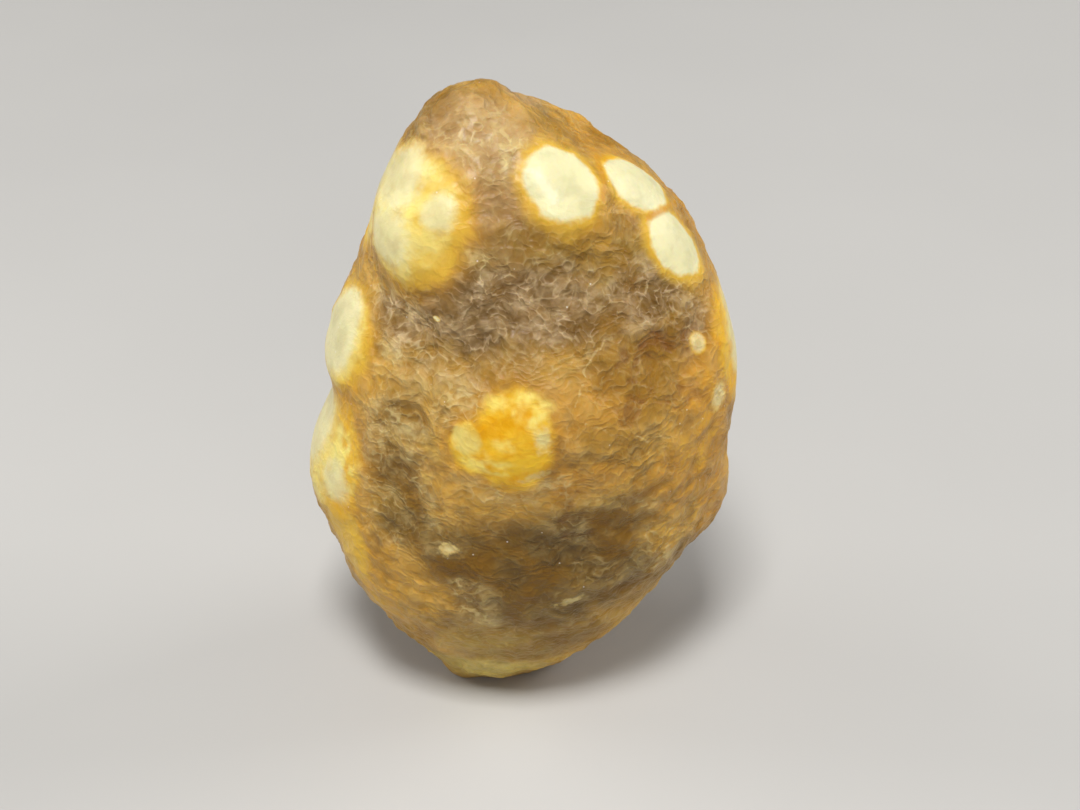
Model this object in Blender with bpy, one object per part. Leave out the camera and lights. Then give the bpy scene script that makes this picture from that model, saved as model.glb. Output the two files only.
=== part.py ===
"""A raw agate pebble that stands on the small flat at its narrow end.

The stone is one solid. A plain form is drawn through its left, right, front and back outlines,
then lumps and hollows are pressed into its skin, and the foot is cut level.

The frame is +Z up, with the front of the stone towards -Y and the origin in the middle of the foot.
Lengths below are in millimetres and are turned into metres when the mesh is made.
"""

import math
from typing import NamedTuple

import bmesh
import bpy
import numpy as np
from mathutils import Vector, noise
from mathutils.bvhtree import BVHTree

MM = 0.001

# Driving dimensions of the plain form
TOP = 44.6
BOTTOM = -2.6
GRID_CELLS = 28
MIDDLE = Vector((1.4, 0.8, 22.0))

# Folds all over the skin: how far apart they are sideways and upwards, and how deep they are
FOLD_LENGTH = 5.2
FOLD_HEIGHT = 3.4
FOLD_DEPTH = 0.32
FOLD_SEED = 17.0

# Points nearer than this to the foot's rim are joined to it, so that the cut leaves no slivers
RIM_GAP = 0.45
SHARPEST_SMOOTH_EDGE = 40.0

HONEY_BROWN = (0.42, 0.22, 0.06, 1.0)
WAXY_ROUGHNESS = 0.42


class Station(NamedTuple):
    """How far the plain form reaches at one height."""

    height: float
    left: float
    right: float
    front: float
    back: float


STATIONS = (
    Station(0.0, -4.6, 4.6, -4.9, 4.9),
    Station(4.3, -9.0, 9.2, -7.9, 7.6),
    Station(9.0, -11.6, 12.3, -9.8, 9.6),
    Station(13.5, -12.7, 15.0, -10.8, 10.8),
    Station(19.8, -12.4, 15.7, -11.2, 11.8),
    Station(25.5, -11.2, 15.4, -10.6, 12.2),
    Station(30.9, -10.0, 14.4, -9.0, 12.2),
    Station(36.1, -8.4, 11.5, -6.8, 11.0),
    Station(40.0, -6.6, 7.4, -4.1, 9.0),
    Station(43.0, -4.6, 1.6, -0.9, 6.2),
)


class Relief(NamedTuple):
    """A lump, if rise is above 0, or a hollow pressed into the skin.

    turn and lift are in degrees, seen from the middle of the stone. A turn of 0 is the front, 90 the
    right and 180 the back, and lift is the angle above level. wide and tall are half sizes along the
    skin, slant turns them anticlockwise, and a high flatness gives a flat top with steep sides.
    """

    name: str
    turn: float
    lift: float
    wide: float
    tall: float
    slant: float
    flatness: float
    rise: float


EYES = (
    Relief("upper left", -60, 62, 4.0, 4.6, 20, 3, 1.1),
    Relief("upper left, small", -45, 67, 1.7, 1.7, 0, 3, 0.2),
    Relief("upper middle", 35, 76, 3.2, 3.2, 0, 4, 0.7),
    Relief("upper right", 88, 66, 2.3, 2.7, 30, 4, 0.5),
    Relief("right shoulder", 76, 52, 2.3, 2.9, 25, 4, 0.6),
    Relief("left waist", -84, 23, 3.4, 3.6, 0, 3, 1.0),
    Relief("left belly", -82, -19, 3.6, 3.9, 0, 2.5, 0.85),
    Relief("middle boss", -4, 21, 4.4, 3.9, 0, 3, 0.8),
    Relief("back shoulder", 150, 38, 3.3, 3.0, 0, 4, 0.6),
    Relief("back waist", -146, 12, 2.8, 2.5, 0, 4, 0.5),
    Relief("back belly", 166, -22, 3.6, 3.0, 15, 3, 0.8),
    Relief("back top", -150, 62, 2.6, 2.4, 0, 4, 0.5),
)

LUMPS = (
    Relief("right bulge", 80, 17, 3.6, 5.0, 0, 3, 0.9),
    Relief("ledge right of the boss", 36, 18, 7.5, 2.4, 4, 2, 0.4),
    Relief("lower right corner", 80, -24, 3.0, 3.0, 0, 3, 0.6),
    Relief("lip over the foot", -42, -72, 1.4, 1.2, 0, 3, 0.6),
    Relief("left hip", -46, -38, 4.0, 3.6, 0, 2, 0.4),
    Relief("back ridge", 122, 4, 2.6, 8.0, 12, 2, 0.7),
)

HOLLOWS = (
    Relief("valley, left", -45, 45, 4.6, 2.6, -10, 2, -0.7),
    Relief("valley, middle", 0, 55, 6.5, 3.2, 0, 2, -0.9),
    Relief("valley, right", 50, 51, 5.0, 2.8, 10, 2, -0.8),
    Relief("furrow below the crown", -2, 75, 1.9, 3.6, 0, 2, -0.5),
    Relief("dip right of the crown", 125, 75, 2.6, 2.2, 0, 2, -0.5),
    Relief("hollow right of the boss", 46, 32, 4.0, 2.6, 0, 2, -0.5),
    Relief("channel left of the boss", -40, -4, 2.6, 6.0, 0, 2, -0.8),
    Relief("hollow below the boss", 10, -20, 7.0, 2.8, 0, 2, -0.8),
    Relief("notch above the left waist", -78, 47, 3.0, 1.9, 0, 2, -0.6),
    Relief("notch below the left waist", -84, 5, 3.0, 1.6, 0, 2, -0.3),
    Relief("back dent", -165, 36, 6.0, 5.0, 20, 2, -1.0),
    Relief("back lower dent", -150, -20, 5.0, 4.0, 0, 2, -0.7),
)


def smooth_curve(xs, ys):
    """A smooth curve through points, as a function of x. Past its ends it stays level."""
    xs, ys = np.array(xs, float), np.array(ys, float)
    slopes = np.gradient(ys, xs)

    def at(x):
        x = np.clip(x, xs[0], xs[-1])
        i = np.clip(np.searchsorted(xs, x, side="right") - 1, 0, len(xs) - 2)
        span = xs[i + 1] - xs[i]
        t = (x - xs[i]) / span
        return (
            ys[i] * (1 + 2 * t) * (1 - t) ** 2
            + slopes[i] * span * t * (1 - t) ** 2
            + ys[i + 1] * t**2 * (3 - 2 * t)
            + slopes[i + 1] * span * t**2 * (t - 1)
        )

    return at


def chord(height):
    """Half width of a unit ball at the same share of its height."""
    middle, half = (TOP + BOTTOM) / 2, (TOP - BOTTOM) / 2
    return np.sqrt(np.maximum(1 - ((height - middle) / half) ** 2, 0))


def ball_mesh(cells):
    """A unit ball of even square cells: a cube, divided and blown up."""
    mesh = bmesh.new()
    bmesh.ops.create_cube(mesh, size=2)
    bmesh.ops.subdivide_edges(mesh, edges=mesh.edges[:], cuts=cells - 1, use_grid_fill=True)
    for vertex in mesh.verts:
        even = Vector(math.tan(c * math.pi / 4) for c in vertex.co)
        vertex.co = even.normalized()
    return mesh


def plain_form(directions):
    """Points of the plain form, one for each unit direction."""
    height = (TOP + BOTTOM) / 2 + directions[:, 2] * (TOP - BOTTOM) / 2
    heights = [s.height for s in STATIONS]
    swell = chord(np.array(heights))

    def middle_and_half(low, high):
        low, high = np.array(low), np.array(high)
        middle = smooth_curve(heights, (low + high) / 2)(height)
        half = smooth_curve(heights, (high - low) / 2 / swell)(height)
        return middle, half

    middle_x, half_x = middle_and_half([s.left for s in STATIONS], [s.right for s in STATIONS])
    middle_y, half_y = middle_and_half([s.front for s in STATIONS], [s.back for s in STATIONS])
    return np.stack(
        (middle_x + directions[:, 0] * half_x, middle_y + directions[:, 1] * half_y, height), axis=1
    )


def place_on_skin(tree, turn, lift):
    """The point and outward normal of the skin at a turn and a lift."""
    turn, lift = math.radians(turn), math.radians(lift)
    level = math.cos(lift)
    outwards = Vector((math.sin(turn) * level, -math.cos(turn) * level, math.sin(lift)))
    point, normal, _, _ = tree.ray_cast(MIDDLE, outwards)
    return point, normal


def relief_height(relief, points, tree):
    """How far the relief moves each point along its normal."""
    centre, outwards = place_on_skin(tree, relief.turn, relief.lift)
    along = Vector((0, 0, 1)).cross(outwards).normalized()
    upwards = outwards.cross(along)
    slant = math.radians(relief.slant)
    first = along * math.cos(slant) + upwards * math.sin(slant)
    second = upwards * math.cos(slant) - along * math.sin(slant)
    offset = points - np.array(centre)
    reach = np.sqrt(
        (offset @ np.array(first) / relief.wide) ** 2
        + (offset @ np.array(second) / relief.tall) ** 2
        + (offset @ np.array(outwards) / max(relief.wide, relief.tall)) ** 2
    )
    return relief.rise * np.exp(-(reach**relief.flatness))


def fold_height(point):
    """How far the skin's folds move a point: long sideways, short upwards, and uneven."""
    x, y, z = point
    place = Vector((x / FOLD_LENGTH, y / FOLD_LENGTH, z / FOLD_HEIGHT + FOLD_SEED))
    return FOLD_DEPTH * (noise.noise(place) + 0.5 * noise.noise(place * 2.0))


def shape_stone(mesh):
    """Turns the ball into the stone, still with its foot uncut."""
    directions = np.array([v.co for v in mesh.verts])
    points = plain_form(directions)
    for vertex, point in zip(mesh.verts, points):
        vertex.co = point
    mesh.normal_update()
    normals = np.array([v.normal for v in mesh.verts])
    tree = BVHTree.FromBMesh(mesh)
    rise = sum(relief_height(relief, points, tree) for relief in EYES + LUMPS + HOLLOWS)
    rise += np.array([fold_height(point) for point in points])
    for vertex, point in zip(mesh.verts, points + normals * rise[:, None]):
        vertex.co = point


def rim_points(mesh):
    return [vertex for vertex in mesh.verts if vertex.is_boundary]


def cut_foot(mesh):
    """Takes off what is below height 0 and closes the cut with one flat face."""
    whole = mesh.verts[:] + mesh.edges[:] + mesh.faces[:]
    bmesh.ops.bisect_plane(mesh, geom=whole, plane_co=(0, 0, 0), plane_no=(0, 0, 1), clear_inner=True)
    bmesh.ops.remove_doubles(mesh, verts=rim_points(mesh), dist=RIM_GAP)
    rim = rim_points(mesh)
    near = [vertex for vertex in mesh.verts if vertex.co.z < RIM_GAP]
    doubles = bmesh.ops.find_doubles(mesh, verts=near, keep_verts=rim, dist=RIM_GAP)
    bmesh.ops.weld_verts(mesh, targetmap=doubles["targetmap"])
    bmesh.ops.contextual_create(mesh, geom=[edge for edge in mesh.edges if edge.is_boundary])
    bmesh.ops.recalc_face_normals(mesh, faces=mesh.faces[:])


def agate_material():
    material = bpy.data.materials.new("agate")
    material.use_nodes = True
    surface = material.node_tree.nodes["Principled BSDF"]
    surface.inputs["Base Color"].default_value = HONEY_BROWN
    surface.inputs["Roughness"].default_value = WAXY_ROUGHNESS
    surface.inputs["Metallic"].default_value = 0.0
    return material


def make_pebble():
    mesh = ball_mesh(GRID_CELLS)
    shape_stone(mesh)
    cut_foot(mesh)
    bmesh.ops.scale(mesh, vec=(MM, MM, MM), verts=mesh.verts[:])
    data = bpy.data.meshes.new("agate_pebble")
    mesh.to_mesh(data)
    mesh.free()
    data.materials.append(agate_material())
    data.shade_smooth()
    data.set_sharp_from_angle(angle=math.radians(SHARPEST_SMOOTH_EDGE))
    pebble = bpy.data.objects.new("agate_pebble", data)
    bpy.context.scene.collection.objects.link(pebble)
    return pebble


for leftover in bpy.data.objects[:]:
    bpy.data.objects.remove(leftover)
make_pebble()
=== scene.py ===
"""Dresses the raw agate pebble: its crinkled skin, its cream eyes and its waxy honey-brown finish.

The stone stands on the flat at its narrow end. Marks on it are placed by a turn and a lift, in
degrees, seen from the middle of the stone: a turn of 0 is the front, 90 the right and 180 the back,
and lift is the angle above level. Sizes are in millimetres.
"""

import logging
import math
from collections.abc import Sequence
from dataclasses import dataclass, field
from enum import Enum
from typing import Any, ClassVar

import bmesh
import bpy
import numpy as np
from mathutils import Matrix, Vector
from mathutils.bvhtree import BVHTree

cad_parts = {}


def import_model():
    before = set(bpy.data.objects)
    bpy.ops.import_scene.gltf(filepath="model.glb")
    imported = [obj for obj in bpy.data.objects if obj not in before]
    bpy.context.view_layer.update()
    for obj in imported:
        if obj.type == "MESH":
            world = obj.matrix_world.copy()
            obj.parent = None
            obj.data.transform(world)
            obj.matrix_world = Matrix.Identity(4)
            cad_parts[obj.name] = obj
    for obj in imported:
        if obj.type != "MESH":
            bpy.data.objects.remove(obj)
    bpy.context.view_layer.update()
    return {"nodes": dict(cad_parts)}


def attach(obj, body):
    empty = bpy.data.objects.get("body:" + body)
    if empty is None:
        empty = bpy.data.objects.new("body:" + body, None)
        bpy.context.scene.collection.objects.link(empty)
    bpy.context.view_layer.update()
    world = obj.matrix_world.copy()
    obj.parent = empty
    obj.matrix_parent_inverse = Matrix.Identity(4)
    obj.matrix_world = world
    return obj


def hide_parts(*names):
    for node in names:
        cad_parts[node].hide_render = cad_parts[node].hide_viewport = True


MM = 0.001
STONE_MIDDLE = Vector((1.4, 0.8, 22.0)) * MM

# The name under which the skin carries its share of crinkles
CRINKLED = "crinkled"

log = logging.getLogger("agate")

Colour = tuple[float, float, float, float]
Socket = bpy.types.NodeSocket
Runs = tuple[tuple[Vector, Vector], ...]


def paint(red: int, green: int, blue: int) -> Colour:
    """Turns a colour as seen on a screen into the linear light that shaders use.

    Args:
        red: how much red, from 0 to 255.
        green: how much green, from 0 to 255.
        blue: how much blue, from 0 to 255.

    Returns:
        The linear colour, opaque.
    """
    shares = (channel / 255 for channel in (red, green, blue))
    linear = (c / 12.92 if c <= 0.04045 else ((c + 0.055) / 1.055) ** 2.4 for c in shares)
    return (*linear, 1.0)


def way_out(turn: float, lift: float) -> Vector:
    """Finds the way out from the middle of the stone.

    Args:
        turn: how far round, in degrees.
        lift: how far above level, in degrees.

    Returns:
        The direction, of length 1.
    """
    turn, lift = math.radians(turn), math.radians(lift)
    level = math.cos(lift)
    return Vector((math.sin(turn) * level, -math.cos(turn) * level, math.sin(lift)))


class Tint(Enum):
    """The ways in which the skin's colour changes over the stone."""

    ROSE = "rose"
    ORANGE = "orange"
    DARK = "dark"
    OLIVE = "olive"
    MAUVE = "mauve"
    GOLD = "gold"
    PALE = "pale"
    STRAW = "straw"
    MAROON = "maroon"
    CURD = "curd"
    FROST = "frost"


class EyeMark(Enum):
    """What the skin carries about the eye nearest to each point."""

    REACH = "eye_reach"
    CREAM = "eye_cream"
    EDGE = "eye_edge"


@dataclass(frozen=True)
class Patch:
    """An oval area of the skin, with soft edges, placed by a turn and a lift.

    wide and tall are half sizes along the skin, slant turns it anticlockwise, in degrees, and
    strength is how much of its effect it has.
    """

    fade: ClassVar[tuple[float, float]] = (0.4, 1.5)
    turn: float
    lift: float
    wide: float
    tall: float
    slant: float = 0.0
    strength: float = 1.0

    def reach(self, points: np.ndarray, skin: "SkinFinder") -> np.ndarray:
        """Measures how far each point is from the middle of the patch.

        Args:
            points: places on the skin in metres, one row each.
            skin: finds the patch's own place.

        Returns:
            The distance as a share of the patch's half size: 0 in its middle and 1 on its edge.
        """
        centre, outwards = skin.find(self.turn, self.lift)
        along = Vector((0, 0, 1)).cross(outwards).normalized()
        upwards = outwards.cross(along)
        slant = math.radians(self.slant)
        first = along * math.cos(slant) + upwards * math.sin(slant)
        second = upwards * math.cos(slant) - along * math.sin(slant)
        offset = (points - np.array(centre)) / MM
        return np.sqrt(
            (offset @ np.array(first) / self.wide) ** 2
            + (offset @ np.array(second) / self.tall) ** 2
            + (offset @ np.array(outwards) / max(self.wide, self.tall)) ** 2
        )

    def cover(self, points: np.ndarray, skin: "SkinFinder") -> np.ndarray:
        """Measures how much of its effect the patch has at each point.

        Args:
            points: places on the skin in metres, one row each.
            skin: finds the patch's own place.

        Returns:
            The share: all of its strength inside the fade, and nothing outside it.
        """
        start, end = self.fade
        near = np.clip((end - self.reach(points, skin)) / (end - start), 0, 1)
        return self.strength * near * near * (3 - 2 * near)


@dataclass(frozen=True)
class Eye(Patch):
    """A cream spot. strength is how cream it is, and edge how softly it fades into the stone."""

    edge: float = 0.1


@dataclass(frozen=True)
class SkinFinder:
    """Finds places on the stone's skin from a turn and a lift."""

    tree: BVHTree

    def find(self, turn: float, lift: float) -> tuple[Vector, Vector]:
        """Returns the place and the outward normal at a turn and a lift."""
        place, normal, _, _ = self.tree.ray_cast(STONE_MIDDLE, way_out(turn, lift))
        return place, normal

    def runs(self, lines: Sequence[Sequence[tuple[float, float]]]) -> Runs:
        """Finds the straight runs of some lines along the skin.

        Args:
            lines: for each line, the turns and lifts that it goes through.

        Returns:
            The two ends of each run, in millimetres.
        """
        places = ([self.find(*stop)[0] / MM for stop in line] for line in lines)
        return tuple(run for line in places for run in zip(line, line[1:]))


# Eyes: turn, lift, half width, half height, slant, how cream, how soft the edge
UPPER_EYES = (
    Eye(-75, 66, 2.3, 2.2, 0, 0.75, 0.4),
    Eye(-43, 66.5, 1.25, 1.25, 0, 0.75, 0.35),
    Eye(-62, 57.5, 2.2, 1.8, 0, 0.75, 0.45),
    Eye(-96, 60, 2.0, 2.6, 0, 0.7, 0.45),
    Eye(34, 75.6, 2.3, 2.65, 0, 1.0, 0.12),
    Eye(84, 66, 1.9, 2.6, 35, 1.0, 0.1),
    Eye(77, 52, 1.85, 2.55, 25, 1.0, 0.08),
)
SIDE_EYES = (
    Eye(-80, 27.5, 2.5, 3.1, 0, 0.9, 0.2),
    Eye(-85, -6, 2.6, 3.4, 0, 0.85, 0.3),
    Eye(-66, -14, 1.3, 1.4, 0, 0.75, 0.5),
    Eye(89, 19, 2.3, 3.3, 0, 0.75, 0.4),
    Eye(69, 12.5, 0.7, 0.9, 0, 0.6, 0.5),
    Eye(66.8, 30, 0.55, 0.65, 0, 0.6, 0.3),
)
# Small pale flecks; the smallest, at turn -36.6 and lift 50, is a painted glint
FLECKS = (
    Eye(-24, -24, 0.55, 0.36, 10, 0.55, 0.95),
    Eye(17, -41, 0.7, 0.28, 20, 0.5, 0.95),
    Eye(-36.6, 50, 0.3, 0.16, 0, 1.0, 0.3),
    Eye(7.3, 20.5, 0.45, 0.75, 0, 0.5, 0.9),
    Eye(4.5, 8, 0.9, 0.26, 20, 0.4, 0.8),
)
BACK_EYES = (
    Eye(150, 38, 2.6, 2.0, -20, 1.0, 0.12),
    Eye(-147, 13, 1.5, 2.1, 30, 0.9, 0.2),
    Eye(-138, 7, 0.9, 0.8, 0, 0.7, 0.4),
    Eye(166, -22, 2.4, 1.7, 15, 0.8, 0.3),
    Eye(178, -16, 1.4, 1.2, 0, 0.75, 0.35),
    Eye(-150, 62, 2.1, 1.4, -25, 0.85, 0.25),
    Eye(-166, 66, 1.0, 0.9, 0, 0.75, 0.35),
    Eye(118, 20, 1.0, 0.8, 0, 0.7, 0.3),
)
EYES = UPPER_EYES + SIDE_EYES + FLECKS + BACK_EYES

# Amber seams between eyes and long thin crests, each through the turns and lifts given
SEAM_WIDTH = 0.2
SEAM_LINES = (
    ((108, 75), (79, 74.5), (65, 72), (54, 69.6)),
    ((96, 54.7), (82, 58.4), (74, 60.5)),
)
CREST_WIDTH = 0.09
CREST_LINES = (
    ((21, 23), (30, 18), (38, 14), (48, 10), (57, 8), (65, 10)),
    ((60, 52), (51, 48), (43, 45), (34, 44), (27, 40), (18, 30)),
    ((-10, -1), (-6, 1), (-1, 3), (3, 6), (8, 9)),
)

# Where each tint lies: turn, lift, half width, half height, slant, strength
TINTS = {
    Tint.ROSE: (
        Patch(-42, 80, 4.5, 4.5),
        Patch(-12, 70.6, 2.0, 4.2),
        Patch(-160, 76, 4.0, 3.0),
    ),
    Tint.ORANGE: (
        Patch(-4, 20, 4.4, 4.2, 0, 1.0),
        Patch(-66, -8, 2.6, 4.8, 0, 0.8),
        Patch(49, 34, 3.4, 3.0, 0, 0.6),
        Patch(66, 19, 3.0, 5.4, 0, 1.0),
        Patch(84, 18, 4.0, 6.0, 0, 0.9),
        Patch(72, -14, 2.6, 5.6, 0, 1.0),
        Patch(52, -6, 4.2, 3.2, 0, 0.7),
        Patch(20, 4, 3.4, 1.8, 0, 0.7),
        Patch(-44, -31, 3.4, 3.0, 0, 0.35),
        Patch(9.5, 28, 3.4, 2.2, 0, 0.8),
        Patch(27, 29, 3.8, 2.2, 0, 0.7),
        Patch(-53, 2, 1.5, 4.5, 0, 0.6),
        Patch(110, 72, 5.5, 3.0, 0, 0.9),
        Patch(104, 45, 3.0, 6.0, 0, 0.8),
        Patch(-110, 50, 3.0, 5.0, 0, 0.7),
        Patch(150, 8, 5.0, 4.0, 20, 0.7),
        Patch(-120, -20, 4.0, 4.5, 0, 0.7),
        Patch(110, -15, 4.0, 5.0, 0, 0.7),
    ),
    # Dark stone; the patches low on the front, from lift -18 down, are partly painted shade, darker
    # towards the bottom
    Tint.DARK: (
        Patch(45, 34, 3.8, 3.2, 0, 0.6),
        Patch(-28, 50, 3.4, 2.4, 0, 0.5),
        Patch(-46, 10, 2.8, 3.8, 0, 0.45),
        Patch(-44, -6, 2.4, 3.4, 0, 0.65),
        Patch(-39, -18, 3.0, 2.4, 0, 0.8),
        Patch(-17, -27, 4.4, 2.8, 0, 0.9),
        Patch(7, -27, 5.0, 3.4, 0, 1.0),
        Patch(22, -20, 5.2, 3.6, 0, 0.85),
        Patch(8, -40, 5.5, 3.6, 0, 0.9),
        Patch(30, -35, 4.4, 3.8, 0, 0.9),
        Patch(48, -42, 3.6, 3.4, 0, 0.5),
        Patch(12, -58, 5.0, 2.4, 0, 0.5),
        Patch(-165, 36, 6.5, 5.0, 20, 0.4),
        Patch(-140, -32, 7.0, 4.6, 0, 0.5),
        Patch(140, -36, 6.0, 4.4, 0, 0.5),
    ),
    Tint.OLIVE: (
        Patch(-32, 60, 3.4, 2.0, 0, 0.8),
        Patch(10, 67, 5.0, 1.8, 0, 0.8),
        Patch(52, 58, 3.4, 1.8, 0, 0.7),
        Patch(62, 43, 3.4, 2.6, 0, 0.6),
        Patch(36, -9, 3.4, 2.4, 0, 0.35),
        Patch(38, 7, 4.0, 2.2, 0, 0.3),
        Patch(0, -53, 7.0, 4.0, 0, 0.7),
        Patch(-170, -45, 6.0, 4.0, 0, 0.7),
        Patch(130, 30, 3.0, 5.0, 0, 0.6),
    ),
    Tint.MAUVE: (
        Patch(-14, 42, 6.0, 2.6, 0, 0.5),
        Patch(-54, 45, 3.4, 2.0, 0, 0.8),
        Patch(-23, 53, 4.2, 3.2, -8, 1.0),
        Patch(12, 56, 5.6, 3.2, 0, 1.0),
        Patch(54, 49, 4.0, 2.6, 0, 0.9),
        Patch(67, 36, 2.4, 1.8, 0, 0.7),
        Patch(-165, 36, 5.5, 3.8, 20, 0.5),
        Patch(-42, 80, 3.0, 3.0, 0, 0.3),
    ),
    # Gold; the patches down the left and right edges are partly gold stone and partly painted glow,
    # for light shining through the thin rim
    Tint.GOLD: (
        Patch(-54, 62, 4.5, 5.0, 0, 1.0),
        Patch(-100, 57, 3.6, 4.4, 0, 0.9),
        Patch(34, 75.6, 3.1, 3.4, 0, 0.75),
        Patch(84, 66, 2.3, 3.0, 35, 0.6),
        Patch(77, 52, 2.3, 2.9, 25, 0.6),
        Patch(-74, 27, 3.2, 4.0, 0, 0.9),
        Patch(-70, -9, 3.8, 5.6, 0, 0.95),
        Patch(-62, -30, 2.6, 4.4, 20, 0.85),
        Patch(-52, -46, 2.4, 2.4, 30, 0.6),
        Patch(-2, 19, 2.9, 4.2, 0, 1.0),
        Patch(-15.5, 16, 1.8, 2.1, 0, 0.95),
        Patch(0, 5, 4.6, 3.0, 0, 0.35),
        Patch(-23, 5, 3.0, 2.6, 0, 0.4),
        Patch(86, 20, 4.0, 5.0, 0, 0.95),
        Patch(60, 4, 3.4, 4.2, 0, 0.5),
        Patch(63, 15, 2.4, 4.0, 0, 0.45),
        Patch(-50, -34, 3.0, 3.0, 0, 0.4),
        Patch(88, 3, 3.2, 2.8, 0, 0.5),
        Patch(85, -17, 3.6, 3.4, 20, 0.6),
        Patch(166, -20, 3.6, 3.2, 0, 0.9),
    ),
    Tint.STRAW: (
        Patch(-58, 62, 3.9, 4.6, 0, 1.0),
        Patch(-96, 58, 3.2, 3.8, 0, 1.0),
        Patch(-77, 27, 2.9, 3.8, 0, 1.0),
        Patch(-75, -10, 3.2, 4.6, 0, 1.0),
        Patch(91, 22, 2.9, 4.0, 0, 0.9),
        Patch(166, -20, 3.0, 2.8, 0, 0.9),
        Patch(-150, 62, 2.4, 2.4, 0, 0.8),
        Patch(-17, 19, 1.3, 1.3, 0, 0.95),
        Patch(7.3, 20.5, 0.6, 0.9, 0, 0.7),
    ),
    Tint.PALE: (
        Patch(-20, -67, 5.5, 2.4, 0, 0.9),
        Patch(60, -62, 3.0, 1.4, 0, 0.6),
        Patch(-14, -57, 5.0, 2.6, 0, 0.36),
        Patch(30, -54, 4.0, 2.0, 0, 0.2),
        Patch(180, -64, 5.0, 1.6, 0, 0.8),
    ),
    Tint.CURD: (
        Patch(0, 30.5, 2.2, 1.0, 0, 1.0),
        Patch(6, 26.5, 0.9, 1.2, 0, 1.0),
        Patch(-14, 13, 1.3, 1.0, 0, 0.8),
        Patch(-6, 11, 1.7, 0.6, 0, 1.0),
        Patch(-4, 19, 1.0, 0.6, 0, 0.7),
        Patch(-66, 64, 3.0, 3.6, 0, 0.7),
        Patch(-64, -8, 1.8, 3.0, 0, 0.9),
        Patch(90, 20, 2.8, 4.0, 0, 0.9),
        Patch(-30, 8, 1.2, 2.6, 0, 0.35),
        Patch(-24, -24, 0.8, 0.6, 10, 0.2),
        Patch(17, -41, 1.3, 0.5, 20, 0.2),
        Patch(160, -14, 2.4, 1.2, 0, 0.9),
        Patch(-136, 6, 1.8, 1.2, 0, 0.8),
    ),
    Tint.MAROON: (
        Patch(47, 36, 3.4, 3.0, 0, 0.6),
        Patch(60, 26, 3.0, 3.0, 0, 0.8),
        Patch(40, 22, 4.0, 2.0, 0, 0.6),
        Patch(27, -8, 4.0, 3.0, 0, 0.5),
        Patch(115, 25, 4.0, 5.0, 0, 0.8),
        Patch(-125, 30, 4.0, 4.0, 0, 0.8),
    ),
    Tint.FROST: (
        Patch(-54, 45, 4.0, 3.0, 0, 1.0),
        Patch(-23, 53, 5.0, 3.8, -8, 0.75),
        Patch(12, 56, 6.0, 3.8, 0, 0.7),
        Patch(54, 49, 4.4, 3.2, 0, 0.7),
        Patch(-32, 60, 4.0, 1.6, 0, 1.0),
        Patch(67, 36, 3.0, 2.4, 0, 0.6),
        Patch(-39, 35, 4.0, 3.0, 0, 0.9),
        Patch(-24, 29.5, 3.4, 2.0, 0, 0.8),
        Patch(-45, 12, 2.6, 3.4, 0, 1.0),
        Patch(-44, -6, 3.0, 4.0, 0, 1.0),
        Patch(-39, -18, 3.4, 3.0, 0, 0.8),
        Patch(0, 2, 5.0, 1.5, 0, 0.8),
        Patch(26, -14, 4.0, 2.2, 0, 0.9),
        Patch(40, -30, 5.0, 3.0, 0, 0.8),
        Patch(0, -50, 6.0, 3.0, 0, 0.45),
        Patch(-16, -38, 1.8, 5.0, 15, 0.9),
        Patch(18, -40, 2.4, 1.6, 0, 0.4),
        Patch(-42, 80, 3.4, 3.0, 0, 0.9),
        Patch(-165, 36, 7.0, 5.4, 20, 0.6),
        Patch(-140, -18, 6.5, 6.0, 0, 0.45),
        Patch(140, -35, 6.0, 5.0, 0, 0.4),
        Patch(120, 5, 5.0, 6.0, 0, 0.4),
    ),
}

# The tints whose edges are only a little ragged
MILD_TINTS = (Tint.GOLD, Tint.STRAW, Tint.CURD, Tint.ORANGE, Tint.PALE)


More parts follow.
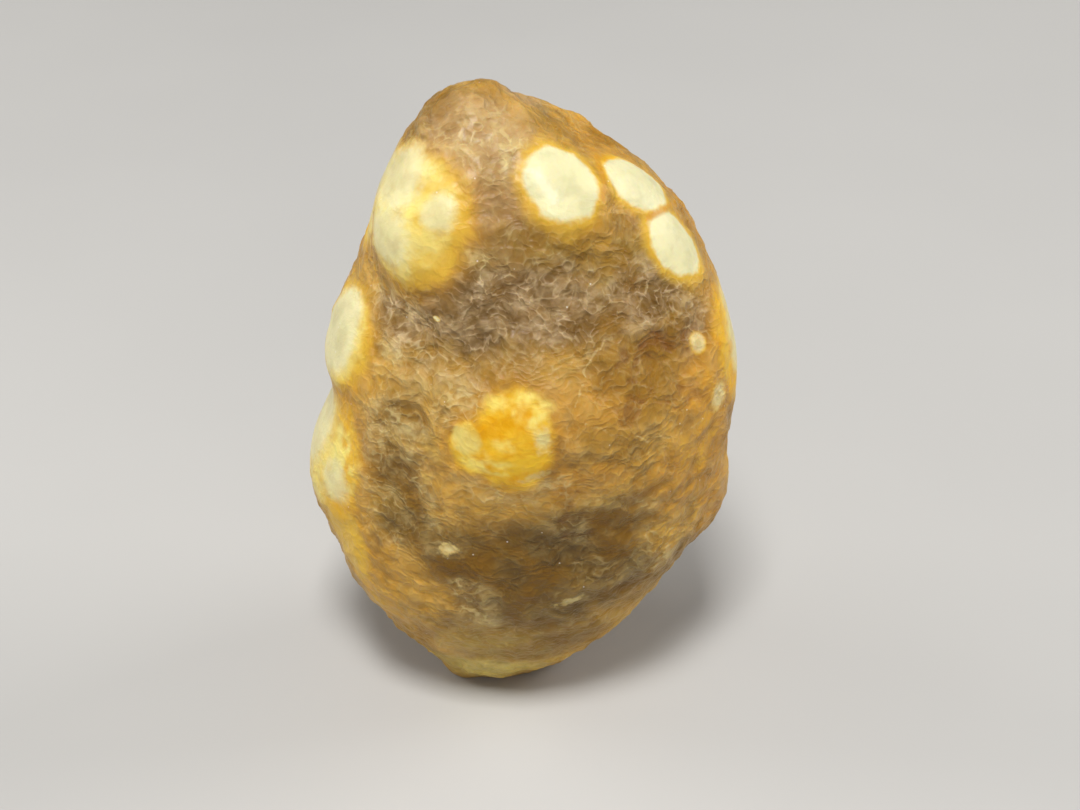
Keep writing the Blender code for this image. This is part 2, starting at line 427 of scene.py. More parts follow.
@dataclass(frozen=True)
class Wiring:
    """Places nodes in one tree and joins them, for the stone's relief and for its finish alike."""

    tree: bpy.types.NodeTree

    def node(
        self, kind: str, inputs: dict[int | str, Any] | None = None, **settings: Any
    ) -> bpy.types.Node:
        """Places a node.

        Args:
            kind: the node's type name.
            inputs: by number or name, a socket to join or a value to set.
            **settings: the node's own settings.

        Returns:
            The node.
        """
        node = self.tree.nodes.new(kind)
        for name, value in settings.items():
            setattr(node, name, value)
        for key, value in (inputs or {}).items():
            if isinstance(value, Socket):
                self.tree.links.new(value, node.inputs[key])
            else:
                node.inputs[key].default_value = value
        return node

    def math(self, operation: str, *values: Any, clamp: bool = False) -> Socket:
        """Returns the result of a sum on one or two values."""
        inputs = dict(enumerate(values))
        return self.node("ShaderNodeMath", inputs, operation=operation, use_clamp=clamp).outputs[0]

    def vector(self, operation: str, *values: Any) -> Socket:
        """Returns the vector that comes of a sum on one or two vectors."""
        inputs = dict(enumerate(values))
        return self.node("ShaderNodeVectorMath", inputs, operation=operation).outputs[0]

    def stretched(self, vector: Any, factor: Any) -> Socket:
        """Returns a vector times a number."""
        inputs = {0: vector, "Scale": factor}
        return self.node("ShaderNodeVectorMath", inputs, operation="SCALE").outputs[0]

    def noise(self, place: Socket, scale: float, detail: float = 2.0, rough: float = 0.5) -> Socket:
        """Returns smooth noise from 0 to 1, with its middle at 0.5."""
        inputs = {"Vector": place, "Scale": scale, "Detail": detail, "Roughness": rough}
        return self.node("ShaderNodeTexNoise", inputs).outputs[0]

    def noise_vector(self, place: Socket, scale: float, detail: float = 2.0) -> Socket:
        """Returns three smooth noises at once, each from 0 to 1."""
        inputs = {"Vector": place, "Scale": scale, "Detail": detail}
        return self.node("ShaderNodeTexNoise", inputs).outputs[1]

    def step(self, value: Socket, low: Any, high: Any) -> Socket:
        """Returns 0 below low and 1 above high, with a smooth rise between them."""
        inputs = {0: value, 1: low, 2: high}
        return self.node("ShaderNodeMapRange", inputs, interpolation_type="SMOOTHSTEP").outputs[0]

    def less(self, value: Socket) -> Socket:
        """Returns what is left of 1 when a value is taken away."""
        return self.math("SUBTRACT", 1.0, value)

    def scaled(self, value: Socket, factor: float) -> Socket:
        """Returns a value times a factor."""
        return self.math("MULTIPLY", value, factor)

    def weighted(self, *parts: tuple[Socket | None, float]) -> Socket:
        """Adds values up, each times its weight.

        Args:
            *parts: pairs of value and weight; without a value, the weight itself is added.

        Returns:
            The sum.
        """
        total = sum(weight for value, weight in parts if value is None)
        result = None
        for value, weight in parts:
            if value is not None:
                inputs = {0: value, 1: weight, 2: total if result is None else result}
                result = self.node("ShaderNodeMath", inputs, operation="MULTIPLY_ADD").outputs[0]
        return result

    def mix(self, share: Any, first: Any, second: Any, blend: str = "MIX") -> Socket:
        """Returns a colour between first, at share 0, and second, at share 1."""
        inputs = {0: share, 6: first, 7: second}
        return self.node("ShaderNodeMix", inputs, data_type="RGBA", blend_type=blend).outputs[2]


def near_lines(wiring: Wiring, place: Socket, runs: Runs, half_width: float) -> Socket:
    """Finds what lies on a thin line.

    Args:
        wiring: the tree to place nodes in.
        place: the place on the stone, in millimetres.
        runs: the two ends of each straight run of the line, in millimetres.
        half_width: how far the line reaches on each side, in millimetres.

    Returns:
        1 in the middle of the line, falling to 0 at its edges.
    """
    nearest = None
    for start, end in runs:
        run = end - start
        offset = wiring.vector("SUBTRACT", place, tuple(start))
        pair = {0: offset, 1: tuple(run)}
        dot = wiring.node("ShaderNodeVectorMath", pair, operation="DOT_PRODUCT")
        share = wiring.math("DIVIDE", dot.outputs["Value"], run.length_squared, clamp=True)
        foot = wiring.stretched(tuple(run), share)
        distance = wiring.node("ShaderNodeVectorMath", {0: offset, 1: foot}, operation="DISTANCE")
        gap = distance.outputs["Value"]
        nearest = gap if nearest is None else wiring.math("MINIMUM", nearest, gap)
    return wiring.less(wiring.step(nearest, half_width * 0.2, half_width * 2.0))


@dataclass(frozen=True)
class CrinkleRule:
    """The rule of the skin's crinkles: sharp crests round smooth dents, long sideways.

    Each dent has a point as its middle, and the crests stand where two dents meet. Scales are in
    dents per millimetre, from the largest to the smallest.
    """

    warp_scale: float = 0.45
    warp_size: float = 2.2
    squash: float = 1.4
    scales: tuple[float, ...] = (0.3, 0.58, 1.05)

    def place(self, wiring: Wiring, position: Socket) -> Socket:
        """Bends and squashes space, so that crests wander and lie mostly level.

        Args:
            wiring: the tree to place nodes in.
            position: the place on the stone, in metres.

        Returns:
            The bent place, in millimetres.
        """
        place = wiring.vector("MULTIPLY", position, (1 / MM,) * 3)
        shift = wiring.vector("SUBTRACT", wiring.noise_vector(place, self.warp_scale), (0.5,) * 3)
        bent = wiring.vector("ADD", place, wiring.vector("MULTIPLY", shift, (self.warp_size,) * 3))
        return wiring.vector("MULTIPLY", bent, (1.0, 1.0, self.squash))

    def crest(self, wiring: Wiring, place: Socket, scale: float) -> Socket:
        """Returns 1 on the highest crests of one size, falling to 0 in the dents."""
        dents = wiring.node("ShaderNodeTexVoronoi", {"Vector": place, "Scale": scale})
        distance = dents.outputs["Distance"]
        return wiring.math("MULTIPLY", wiring.math("MULTIPLY", distance, distance), 1.3, clamp=True)

    def crests(self, wiring: Wiring, place: Socket) -> list[Socket]:
        """Returns the crests of each size, the largest first."""
        return [self.crest(wiring, place, scale) for scale in self.scales]


@dataclass(frozen=True)
class ReliefRule:
    """How high the crinkles stand, in millimetres, from the largest to the smallest."""

    input_names: ClassVar[tuple[str, ...]] = ("Large Crinkles", "Medium Crinkles", "Small Crinkles")
    crinkles: CrinkleRule
    heights: tuple[float, ...] = (0.17, 0.18, 0.15)

    def tree(self) -> bpy.types.NodeTree:
        """Builds the node tree that raises the crinkles on the stone's skin.

        Returns:
            The tree. Its named inputs are the heights of the crinkles and the finish.
        """
        tree = bpy.data.node_groups.new("crinkled skin", "GeometryNodeTree")
        tree.interface.new_socket("Stone", in_out="INPUT", socket_type="NodeSocketGeometry")
        for name in self.input_names:
            tree.interface.new_socket(name, in_out="INPUT", socket_type="NodeSocketFloat")
        tree.interface.new_socket("Finish", in_out="INPUT", socket_type="NodeSocketMaterial")
        tree.interface.new_socket("Stone", in_out="OUTPUT", socket_type="NodeSocketGeometry")
        wiring = Wiring(tree)
        given = wiring.node("NodeGroupInput").outputs
        position = wiring.node("GeometryNodeInputPosition").outputs[0]
        normal = wiring.node("GeometryNodeInputNormal").outputs[0]
        place = self.crinkles.place(wiring, position)
        rise = None
        for name, crest in zip(self.input_names, self.crinkles.crests(wiring, place)):
            part = wiring.math("MULTIPLY", wiring.math("SUBTRACT", crest, 0.4), given[name])
            rise = part if rise is None else wiring.math("ADD", rise, part)
        carried = {"Name": CRINKLED}
        share = wiring.node("GeometryNodeInputNamedAttribute", carried, data_type="FLOAT")
        height = wiring.math("MULTIPLY", wiring.math("MULTIPLY", rise, share.outputs[0]), MM)
        lift = {"Geometry": given["Stone"], "Offset": wiring.stretched(normal, height)}
        raised = wiring.node("GeometryNodeSetPosition", lift).outputs[0]
        real = wiring.node("GeometryNodeRealizeInstances", {0: raised}).outputs[0]
        finish = {"Geometry": real, "Material": given["Finish"]}
        dressed = wiring.node("GeometryNodeSetMaterial", finish).outputs[0]
        wiring.node("NodeGroupOutput", {0: dressed})
        return tree

    def raise_on(self, stone: bpy.types.Object, finish: bpy.types.Material) -> None:
        """Raises the crinkles on the stone and leaves it a plain mesh.

        Args:
            stone: the piece, which carries the share of crinkles at each point.
            finish: the material that it is given.
        """
        tree = self.tree()
        modifier = stone.modifiers.new("crinkled skin", "NODES")
        modifier.node_group = tree
        given = (item for item in tree.interface.items_tree if item.in_out == "INPUT")
        sockets = {item.name: item.identifier for item in given}
        for name, height in zip(self.input_names, self.heights):
            modifier[sockets[name]] = height
        modifier[sockets["Finish"]] = finish
        depsgraph = bpy.context.evaluated_depsgraph_get()
        mesh = bpy.data.meshes.new_from_object(stone.evaluated_get(depsgraph), depsgraph=depsgraph)
        mesh.name = stone.name
        stone.modifiers.clear()
        stone.data = mesh


@dataclass(frozen=True)
class AgateFinish:
    """The waxy, half-clear finish of the stone.

    Each tint has its colour and the share of it that shows at its strongest.
    """

    crinkles: CrinkleRule
    seam_runs: Runs = ()
    crest_runs: Runs = ()
    honey: Colour = paint(194, 147, 56)
    umber: Colour = paint(138, 100, 38)
    clear: Colour = paint(132, 92, 20)
    tints: tuple[tuple[Tint, float, Colour], ...] = (
        (Tint.ROSE, 0.85, paint(176, 140, 94)),
        (Tint.OLIVE, 0.85, paint(132, 100, 28)),
        (Tint.ORANGE, 0.8, paint(190, 134, 40)),
        (Tint.MAUVE, 0.85, paint(96, 68, 30)),
        (Tint.DARK, 0.86, paint(80, 56, 12)),
        (Tint.PALE, 0.9, paint(206, 184, 94)),
    )
    # Painted shade, multiplied into the troughs between the crests
    trough: Colour = (0.36, 0.28, 0.16, 1.0)
    maroon: Colour = paint(112, 56, 30)
    amber: Colour = paint(196, 140, 40)
    gold: Colour = paint(230, 184, 46)
    deep_gold: Colour = paint(220, 160, 12)
    mustard: Colour = paint(214, 172, 60)
    straw: Colour = paint(226, 203, 114)
    curd: Colour = paint(238, 222, 124)
    cream: Colour = paint(224, 217, 170)
    grey_cream: Colour = paint(200, 194, 150)
    # Film colours, also used for the painted highlight on the crest tops
    frost: Colour = paint(210, 188, 130)
    mauve_frost: Colour = paint(206, 180, 138)
    # White of the specks, partly dust and partly painted glints
    dust_and_glint: Colour = paint(245, 240, 228)
    glow: Colour = paint(255, 214, 130)
    depth_radius: tuple[float, float, float] = (1.0, 0.6, 0.2)
    depth_mm: float = 0.4

    @staticmethod
    def group(
        name: str, given: Sequence[str], results: Sequence[str]
    ) -> tuple[bpy.types.NodeTree, Wiring, Any]:
        """Starts a shader group.

        Args:
            name: the group's name.
            given: the names of its inputs.
            results: the names of its outputs.

        Returns:
            The group, its wiring and the sockets of what it is given.
        """
        group = bpy.data.node_groups.new(name, "ShaderNodeTree")
        for socket in given:
            group.interface.new_socket(socket, in_out="INPUT", socket_type="NodeSocketFloat")
        for socket in results:
            group.interface.new_socket(socket, in_out="OUTPUT", socket_type="NodeSocketFloat")
        wiring = Wiring(group)
        return group, wiring, wiring.node("NodeGroupInput").outputs

    def crest_group(self) -> bpy.types.NodeTree:
        """Builds the shader group that repeats the skin's crests and adds finer ones."""
        group, wiring, _ = self.group("skin crests", (), ("Crests", "Fine Crests"))
        place = self.crinkles.place(wiring, wiring.node("ShaderNodeTexCoord").outputs["Object"])
        large, medium, small = self.crinkles.crests(wiring, place)
        fine = self.crinkles.crest(wiring, place, 2.1)
        total = wiring.weighted((large, 0.4), (medium, 0.35), (small, 0.25))
        wiring.node("NodeGroupOutput", {0: total, 1: fine})
        return group

    def vein_group(self) -> bpy.types.NodeTree:
        """Builds the shader group of pale veins, which curl and come and go, and of pale clouds."""
        group, wiring, _ = self.group("pale veins", (), ("Veins", "Clouds"))
        position = wiring.node("ShaderNodeTexCoord").outputs["Object"]
        place = wiring.vector("MULTIPLY", position, (1 / MM,) * 3)
        shift = wiring.vector("SUBTRACT", wiring.noise_vector(place, 0.5, 3.0), (0.5,) * 3)
        curled = wiring.vector("ADD", place, wiring.vector("MULTIPLY", shift, (2.6, 2.6, 1.8)))
        thick = wiring.step(wiring.noise(place, 0.3, 2.0), 0.38, 0.62)
        thin = wiring.step(wiring.noise(place, 0.55, 2.0), 0.35, 0.6)
        long_veins = wiring.math("MULTIPLY", self.vein(wiring, curled, 0.32, 16.0), thick)
        short_veins = wiring.math("MULTIPLY", self.vein(wiring, curled, 0.75, 8.0), thin)
        curls = wiring.scaled(self.vein(wiring, curled, 1.6, 5.0), 0.35)
        veins = wiring.math("MAXIMUM", long_veins, wiring.math("MAXIMUM", short_veins, curls))
        clouds = wiring.step(wiring.noise(curled, 0.6, 4.0, 0.6), 0.45, 0.68)
        wiring.node("NodeGroupOutput", {0: veins, 1: clouds})
        return group

    @staticmethod
    def vein(wiring: Wiring, place: Socket, scale: float, sharpness: float) -> Socket:
        """Returns 1 where a noise crosses its own middle, falling to 0 on both sides."""
        gap = wiring.math("ABSOLUTE", wiring.math("SUBTRACT", wiring.noise(place, scale, 1.0), 0.5))
        return wiring.less(wiring.math("MULTIPLY", gap, sharpness, clamp=True))

    def eye_group(self) -> bpy.types.NodeTree:
        """Builds the shader group that draws an eye from the distance to its middle."""
        names = ("Reach", "Cream", "Edge", "Wander", "Fine Wander")
        group, wiring, given = self.group("eye pattern", names, ("Eye", "Core", "Halo"))
        softness = wiring.math("POWER", given["Edge"], 2.0)
        ragged = wiring.math("MULTIPLY", given["Fine Wander"], softness)
        reach = wiring.math("ADD", wiring.math("ADD", given["Reach"], given["Wander"]), ragged)
        inner = wiring.less(given["Edge"])
        outer = wiring.math("ADD", 1.0, given["Edge"])
        inside = wiring.less(wiring.step(reach, inner, outer))
        eye = wiring.math("MULTIPLY", inside, given["Cream"])
        core = wiring.less(wiring.step(reach, 0.2, 0.85))
        halo = wiring.math("MULTIPLY", wiring.less(wiring.step(reach, 0.95, 1.48)), given["Cream"])
        wiring.node("NodeGroupOutput", {0: eye, 1: core, 2: halo})
        return group

    def stain_group(self) -> bpy.types.NodeTree:
        """Builds the shader group that gives a soft area a ragged edge."""
        group, wiring, given = self.group("ragged stain", ("Area", "Wander"), ("Stain",))
        ragged = wiring.math("ADD", given["Area"], given["Wander"])
        wiring.node("NodeGroupOutput", {0: wiring.step(ragged, 0.1, 1.0)})
        return group

    def material(self) -> bpy.types.Material:
        """Builds the stone's material.

        Returns:
            The material, which reads what the skin carries and the place on the stone.
        """
        material = bpy.data.materials.new("waxy agate")
        material.use_nodes = True
        wiring = Wiring(material.node_tree)
        position = wiring.node("ShaderNodeTexCoord").outputs["Object"]
        place = wiring.vector("MULTIPLY", position, (1 / MM,) * 3)
        crests = wiring.node("ShaderNodeGroup", node_tree=self.crest_group()).outputs
        mottle = wiring.noise(place, 0.8, 5.0, 0.6)
        stains = self.stains(wiring, mottle)
        trough = wiring.less(wiring.step(crests["Crests"], 0.12, 0.5))
        lines = near_lines(wiring, self.wavy(wiring, place), self.crest_runs, CREST_WIDTH)
        veins = wiring.node("ShaderNodeGroup", node_tree=self.vein_group()).outputs
        window = wiring.step(wiring.noise(place, 0.26, 3.0, 0.55), 0.48, 0.66)
        bare = wiring.weighted((window, -0.5), (stains[Tint.DARK], -0.5), (None, 1.0))
        veil = self.veil(wiring, veins, crests, stains[Tint.FROST], lines)
        veil = wiring.math("MULTIPLY", veil, bare)

        colour = self.body(wiring, place, mottle, trough, stains)
        colour = wiring.mix(wiring.scaled(window, 0.45), colour, self.clear)
        film_and_highlight = wiring.mix(stains[Tint.MAUVE], self.frost, self.mauve_frost)
        # The pale film, which on the crest tops is partly painted highlight
        colour = wiring.mix(veil, colour, film_and_highlight)
        colour = self.eyes(wiring, place, stains, colour)
        # Tiny white specks, partly dust and partly painted glints
        grains = wiring.node("ShaderNodeTexVoronoi", {"Vector": place, "Scale": 0.9}).outputs
        dust_and_glint_specks = wiring.less(wiring.step(grains["Distance"], 0.03, 0.07))
        dust_and_glint_specks = wiring.math("MULTIPLY", dust_and_glint_specks, wiring.step(grains["Color"], 0.5, 0.56))
        colour = wiring.mix(wiring.scaled(dust_and_glint_specks, 0.5), colour, self.dust_and_glint)

        rough = wiring.weighted((veil, 0.2), (mottle, 0.24), (None, 0.24))
        grain = wiring.noise(place, 9.0, 3.0, 0.6)
        folds = wiring.weighted((crests["Crests"], 0.8), (crests["Fine Crests"], 0.3))
        folds = wiring.math("MULTIPLY", folds, self.carried(wiring, CRINKLED))
        height = wiring.weighted((folds, 1.0), (grain, 0.04), (mottle, 0.35))
        relief = {"Strength": 0.85, "Distance": 0.3 * MM, "Height": height}
        bump = wiring.node("ShaderNodeBump", relief).outputs[0]

        surface = material.node_tree.nodes["Principled BSDF"]
        for name, socket in {"Base Color": colour, "Roughness": rough, "Normal": bump}.items():
            wiring.tree.links.new(socket, surface.inputs[name])
        for name, value in {
            "IOR": 1.5,
            "Specular IOR Level": 0.14,
            "Subsurface Weight": 0.3,
            "Subsurface Radius": self.depth_radius,
            "Subsurface Scale": self.depth_mm * MM,
            "Subsurface Anisotropy": 0.3,
            "Coat Weight": 0.1,
            "Coat Roughness": 0.22,
            "Sheen Weight": 0.1,
            "Sheen Roughness": 0.35,
            "Sheen Tint": self.glow,
        }.items():
            surface.inputs[name].default_value = value
        return material

    @staticmethod
    def carried(wiring: Wiring, name: str) -> Socket:
        """Returns what the skin carries under a name."""
        return wiring.node("ShaderNodeAttribute", attribute_name=name).outputs["Fac"]

    @staticmethod
    def wavy(wiring: Wiring, place: Socket) -> Socket:
        """Bends space a little, so that thin lines wander.

        Args:
            wiring: the tree to place nodes in.
            place: the place on the stone, in millimetres.

        Returns:
            The bent place.
        """
        shift = wiring.vector("SUBTRACT", wiring.noise_vector(place, 0.8, 3.0), (0.5,) * 3)
        return wiring.vector("ADD", place, wiring.vector("MULTIPLY", shift, (1.4,) * 3))

    def stains(self, wiring: Wiring, mottle: Socket) -> dict[Tint, Socket]:
        """Gives each tint's area a ragged edge.

        Args:
            wiring: the material's wiring.
            mottle: noise that makes the edges ragged.

        Returns:
            How strong each tint is.
        """
        tree = self.stain_group()
        ragged = wiring.weighted((mottle, 1.3), (None, -0.65))
        mild = wiring.weighted((mottle, 0.5), (None, -0.25))
        stains = {}
        for tint in Tint:
            wander = mild if tint in MILD_TINTS else ragged
            inputs = {"Area": self.carried(wiring, tint.value), "Wander": wander}
            stains[tint] = wiring.node("ShaderNodeGroup", inputs, node_tree=tree).outputs[0]
        return stains

    def body(
        self,
        wiring: Wiring,
        place: Socket,
        mottle: Socket,
        trough: Socket,
        stains: dict[Tint, Socket],
    ) -> Socket:
        """Colours the stone's body, with painted shade in the troughs between crests.

        Args:
            wiring: the material's wiring.
            place: the place on the stone, in millimetres.
            mottle: noise that makes it lighter and darker.
            trough: 1 in the troughs between crests, where shade is painted in and the maroon lies.
            stains: how strong each tint is.

        Returns:
            The colour.
        """
        cloud = wiring.noise(place, 0.2, 4.0, 0.62)
        colour = wiring.mix(wiring.step(cloud, 0.3, 0.6), self.umber, self.honey)
        for tint, share, tinted in self.tints:
            colour = wiring.mix(wiring.scaled(stains[tint], share), colour, tinted)
        lightness = wiring.weighted((mottle, 0.9), (None, 0.55))
        shade = wiring.node("ShaderNodeCombineColor", dict.fromkeys(range(3), lightness)).outputs[0]
        colour = wiring.mix(1.0, colour, shade, "MULTIPLY")
        # Painted shade: the troughs between the crests are darkened
        trough_shaded = wiring.mix(1.0, colour, self.trough, "MULTIPLY")
        colour = wiring.mix(wiring.scaled(trough, 0.3), colour, trough_shaded)
        wine = wiring.math("MULTIPLY", stains[Tint.MAROON], wiring.scaled(trough, 0.8))
        return wiring.mix(wine, colour, self.maroon)

    def veil(self, wiring: Wiring, veins: Any, crests: Any, cover: Socket, lines: Socket) -> Socket:
        """Finds how much pale lies on the skin: dull film along thin veins, and on its crests film
        and painted highlight.

        Args:
            wiring: the material's wiring.
            veins: the pale veins and clouds.
            crests: the crests of the skin.
            cover: where there is more film.
            lines: 1 on the long thin crests.

        Returns:
            The share of pale, which on the crest tops is partly painted highlight.
        """
        # Pale on the crest tops, partly film and partly painted highlight
        fine = wiring.step(crests["Fine Crests"], 0.3, 0.95)
        crest_film_and_highlight = wiring.math("MAXIMUM", fine, wiring.step(crests["Crests"], 0.3, 0.9))
        crest_film_and_highlight = wiring.math("MULTIPLY", crest_film_and_highlight, wiring.weighted((cover, 0.4), (None, 0.25)))
        thread = wiring.weighted((cover, 0.25), (None, 0.22))
        thread = wiring.math("MULTIPLY", veins["Veins"], thread)
        haze = wiring.weighted((cover, 0.42), (None, 0.06))
        haze = wiring.math("MULTIPLY", veins["Clouds"], haze)
        film_and_highlight = wiring.math("ADD", wiring.math("MAXIMUM", crest_film_and_highlight, thread), haze, clamp=True)
        return wiring.math("MAXIMUM", film_and_highlight, wiring.scaled(lines, 0.6))

    def eyes(
        self, wiring: Wiring, place: Socket, stains: dict[Tint, Socket], colour: Socket
    ) -> Socket:
        """Lays the eyes, their golden rings and the seams between them over the body.

        Args:
            wiring: the material's wiring.
            place: the place on the stone, in millimetres.
            stains: how strong each tint is.
            colour: the body's colour.

        Returns:
            The colour with the eyes on it.
        """
        wander = wiring.weighted((wiring.noise(place, 0.55, 3.0), 0.6), (None, -0.3))
        inputs = {
            "Reach": self.carried(wiring, EyeMark.REACH.value),
            "Cream": self.carried(wiring, EyeMark.CREAM.value),
            "Edge": self.carried(wiring, EyeMark.EDGE.value),
            "Wander": wander,
            "Fine Wander": wiring.weighted((wiring.noise(place, 2.2, 4.0, 0.6), 3.0), (None, -1.5)),
        }
        eyes = wiring.node("ShaderNodeGroup", inputs, node_tree=self.eye_group()).outputs
        blotch = wiring.step(wiring.noise(place, 0.7, 3.0), 0.4, 0.7)
        warm = wiring.mix(blotch, self.gold, self.deep_gold)
        gold = wiring.mix(stains[Tint.ORANGE], self.mustard, warm)
        seam = near_lines(wiring, place, self.seam_runs, SEAM_WIDTH)
        colour = wiring.mix(wiring.scaled(stains[Tint.GOLD], 0.9), colour, self.amber)
        golden = wiring.math("MAXIMUM", wiring.step(stains[Tint.GOLD], 0.25, 0.95), eyes["Halo"])
        colour = wiring.mix(golden, colour, gold)
        straw = wiring.mix(wiring.scaled(blotch, 0.8), self.straw, self.mustard)
        colour = wiring.mix(wiring.step(stains[Tint.STRAW], 0.3, 0.9), colour, straw)
        lumps = wiring.step(wiring.noise(place, 0.85, 2.0), 0.36, 0.68)
        curd = wiring.math("MULTIPLY", stains[Tint.CURD], lumps)
        colour = wiring.mix(wiring.scaled(curd, 0.85), colour, self.curd)
        cloudy = wiring.weighted((eyes["Core"], 0.35), (blotch, 0.6))
        colour = wiring.mix(eyes["Eye"], colour, wiring.mix(cloudy, self.cream, self.grey_cream))
        return wiring.mix(wiring.scaled(seam, 0.85), colour, self.amber)


@dataclass
class Pebble:
    """The stone: a finer copy of its solid, with marks, crinkles and finish.

    Eyes wider than smooth_eye, in millimetres, keep only least_crinkles of the skin's crinkles,
    which come back across eye_rim, in shares of the eye's half size. Golden skin loses
    gold_smoothness of them, and they fade out over foot_fade above the flat foot.
    """

    node: bpy.types.Object
    name: str = "agate_stone"
    body: str = "root"
    material_slot: str = "agate"
    cad_node: str = "agate_pebble"
    weld_gap: float = 1e-6
    smoothing: int = 2
    foot_level: float = 1e-6
    foot_fade: float = 1.0 * MM
    smooth_eye: float = 1.2
    least_crinkles: float = 0.12
    eye_rim: tuple[float, float] = (0.8, 1.5)
    gold_smoothness: float = 0.75
    crinkles: CrinkleRule = CrinkleRule()

    def skin(self) -> bpy.types.Object:
        """Makes the smooth skin: a copy of the solid in even squares, divided finer.

        Returns:
            The piece, with no marks yet.
        """
        work = bmesh.new()
        work.from_mesh(self.node.data)
        bmesh.ops.remove_doubles(work, verts=work.verts[:], dist=self.weld_gap)
        foot = [face for face in work.faces if all(v.co.z < self.foot_level for v in face.verts)]
        bmesh.ops.dissolve_faces(work, faces=foot)
        sides = [face for face in work.faces if len(face.verts) == 3]
        any_angle = {"angle_face_threshold": math.pi, "angle_shape_threshold": math.pi}
        bmesh.ops.join_triangles(work, faces=sides, **any_angle)
        crease = work.edges.layers.float.new("crease_edge")
        for edge in work.edges:
            edge[crease] = float(all(v.co.z < self.foot_level for v in edge.verts))
        mesh = bpy.data.meshes.new(self.name)
        work.to_mesh(mesh)
        work.free()
        mesh.materials.clear()
        stone = bpy.data.objects.new(self.name, mesh)
        bpy.context.scene.collection.objects.link(stone)
        smooth = stone.modifiers.new("finer", "SUBSURF")
        smooth.levels = smooth.render_levels = self.smoothing
        depsgraph = bpy.context.evaluated_depsgraph_get()
        finer = bpy.data.meshes.new_from_object(stone.evaluated_get(depsgraph), depsgraph=depsgraph)
        stone.modifiers.clear()
        stone.data = finer
        return stone

    def mark(self, stone: bpy.types.Object, skin: SkinFinder) -> None:
        """Writes on the skin where its tints, eyes and crinkles are.

        Args:
            stone: the piece.
            skin: finds the places of the marks.
        """
        mesh = stone.data
        points = np.empty(len(mesh.vertices) * 3)
        mesh.vertices.foreach_get("co", points)
        points = points.reshape(-1, 3)
        areas = {}
        for tint, patches in TINTS.items():
            share = np.zeros(len(points))
            for patch in patches:
                share = np.maximum(share, patch.cover(points, skin))
            self.carry(mesh, tint.value, share)
            areas[tint] = share
        reaches = np.stack([eye.reach(points, skin) for eye in EYES])
        nearest = reaches.argmin(axis=0)
        self.carry(mesh, EyeMark.REACH.value, reaches.min(axis=0))
        self.carry(mesh, EyeMark.CREAM.value, np.array([eye.strength for eye in EYES])[nearest])
        self.carry(mesh, EyeMark.EDGE.value, np.array([eye.edge for eye in EYES])[nearest])
        big = [reach for reach, eye in zip(reaches, EYES) if eye.wide > self.smooth_eye]
        start, end = self.eye_rim
        rough = np.clip((np.stack(big).min(axis=0) - start) / (end - start), 0, 1)
        rough = np.minimum(rough, 1 - self.gold_smoothness * areas[Tint.GOLD])
        rough = self.least_crinkles + (1 - self.least_crinkles) * rough
        above = np.clip(points[:, 2] / self.foot_fade, 0, 1)
        self.carry(mesh, CRINKLED, rough * above)

    @staticmethod
    def carry(mesh: bpy.types.Mesh, name: str, values: Sequence[float]) -> None:
        """Stores one value for each point of a mesh under a name."""
        attribute = mesh.attributes.new(name, "FLOAT", "POINT")
        attribute.data.foreach_set("value", np.asarray(values, np.float32))

    def build(self) -> bpy.types.Object:
        """Makes the finished stone and hands it to the frame.

        Returns:
            The piece.
        """
        stone = self.skin()
        work = bmesh.new()
        work.from_mesh(stone.data)
        skin = SkinFinder(BVHTree.FromBMesh(work))
        work.free()
        self.mark(stone, skin)
        finish = AgateFinish(self.crinkles, skin.runs(SEAM_LINES), skin.runs(CREST_LINES))
        ReliefRule(self.crinkles).raise_on(stone, finish.material())
        stone.data.shade_smooth()
        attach(stone, self.body)
        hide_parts(self.cad_node)
        return stone


@dataclass(frozen=True)
class Lamp:
    """A square soft lamp, hung by a turn, a lift and a distance in metres from the stone."""

    name: str
    turn: float
    lift: float
    distance: float
    side: float
    watts: float

    def hang(self, target: Vector) -> None:
        """Hangs the lamp so that it faces a place.

        Args:
            target: the place, in metres.
        """
        light = bpy.data.lights.new(self.name, "AREA")
        light.energy = self.watts
        light.size = self.side
        lamp = bpy.data.objects.new(self.name, light)
        away = way_out(self.turn, self.lift)
        lamp.location = target + away * self.distance
        lamp.rotation_euler = away.to_track_quat("Z", "Y").to_euler()
        bpy.context.scene.collection.objects.link(lamp)


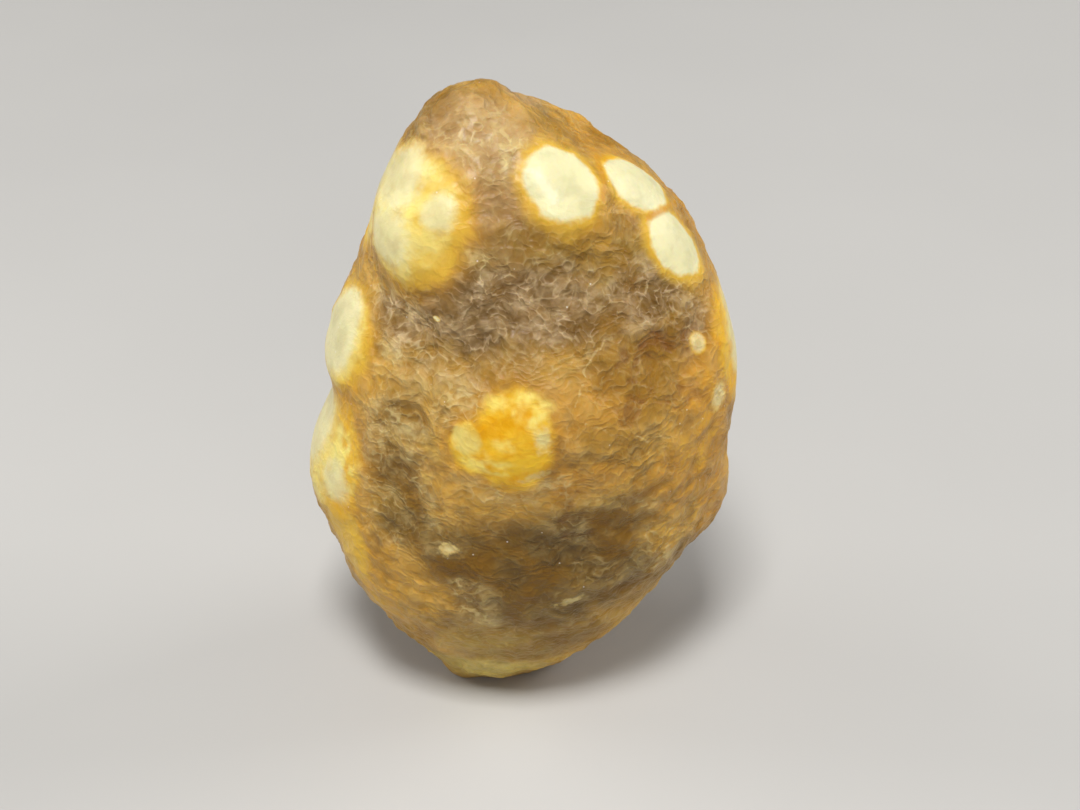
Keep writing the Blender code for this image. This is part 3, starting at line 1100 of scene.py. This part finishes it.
@dataclass
class Studio:
    """The pale table, the soft light and the camera."""

    lamps: tuple[Lamp, ...] = (
        Lamp("key", -10, 70, 0.5, 0.13, 2.45),
        Lamp("fill", 0, 15, 0.7, 0.5, 0.95),
        Lamp("left", -108, 28, 0.6, 0.3, 1.2),
        Lamp("right", 108, 28, 0.6, 0.3, 1.6),
    )
    lens_mm: float = 60.0
    sensor_mm: float = 36.0
    distance: float = 126 * MM
    lift: float = 35.0
    target: Vector = field(default_factory=lambda: Vector((2.7, 0.0, 21.4)) * MM)
    table_size: float = 3.0
    table_colour: Colour = paint(190, 188, 184)
    sky: Colour = (0.88, 0.87, 0.86, 1.0)
    sky_strength: float = 0.16

    def table(self) -> bpy.types.Object:
        """Makes the pale table.

        Returns:
            The table, which isn't part of the stone.
        """
        work = bmesh.new()
        bmesh.ops.create_grid(work, x_segments=8, y_segments=8, size=self.table_size / 2)
        mesh = bpy.data.meshes.new("table")
        work.to_mesh(mesh)
        work.free()
        table = bpy.data.objects.new("table", mesh)
        bpy.context.scene.collection.objects.link(table)
        material = bpy.data.materials.new("pale table")
        material.use_nodes = True
        wiring = Wiring(material.node_tree)
        surface = material.node_tree.nodes["Principled BSDF"]
        place = wiring.node("ShaderNodeTexCoord").outputs["Object"]
        cloud = wiring.step(wiring.noise(place, 9.0, 4.0), 0.3, 0.7)
        darker = tuple(0.93 * c for c in self.table_colour[:3]) + (1.0,)
        colour = wiring.mix(cloud, darker, self.table_colour)
        wiring.tree.links.new(colour, surface.inputs["Base Color"])
        surface.inputs["Roughness"].default_value = 0.6
        table.data.materials.append(material)
        return table

    def camera(self) -> None:
        """Sets the camera where the stone is seen from in front and above."""
        camera = bpy.data.objects.new("camera", bpy.data.cameras.new("camera"))
        camera.data.lens = self.lens_mm
        camera.data.sensor_width = self.sensor_mm
        camera.data.clip_start = 0.005
        away = way_out(0, self.lift)
        camera.location = self.target + away * self.distance
        camera.rotation_euler = away.to_track_quat("Z", "Y").to_euler()
        bpy.context.scene.collection.objects.link(camera)
        bpy.context.scene.camera = camera

    def build(self) -> None:
        """Makes the table, the lamps, the sky and the camera."""
        self.table()
        for lamp in self.lamps:
            lamp.hang(self.target)
        world = bpy.data.worlds.new("soft room")
        world.use_nodes = True
        background = world.node_tree.nodes["Background"]
        background.inputs["Color"].default_value = self.sky
        background.inputs["Strength"].default_value = self.sky_strength
        bpy.context.scene.world = world
        bpy.context.scene.view_settings.view_transform = "Standard"
        self.camera()


def main() -> None:
    """Loads the solid, dresses it and lights it."""
    logging.basicConfig(level=logging.INFO, format="%(message)s")
    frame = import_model()
    stone = Pebble(frame["nodes"]["agate_pebble"]).build()
    log.info("%s: %d faces", stone.name, len(stone.data.polygons))
    Studio().build()
    log.info("studio: table, lamps and camera")


if __name__ == "__main__":
    main()
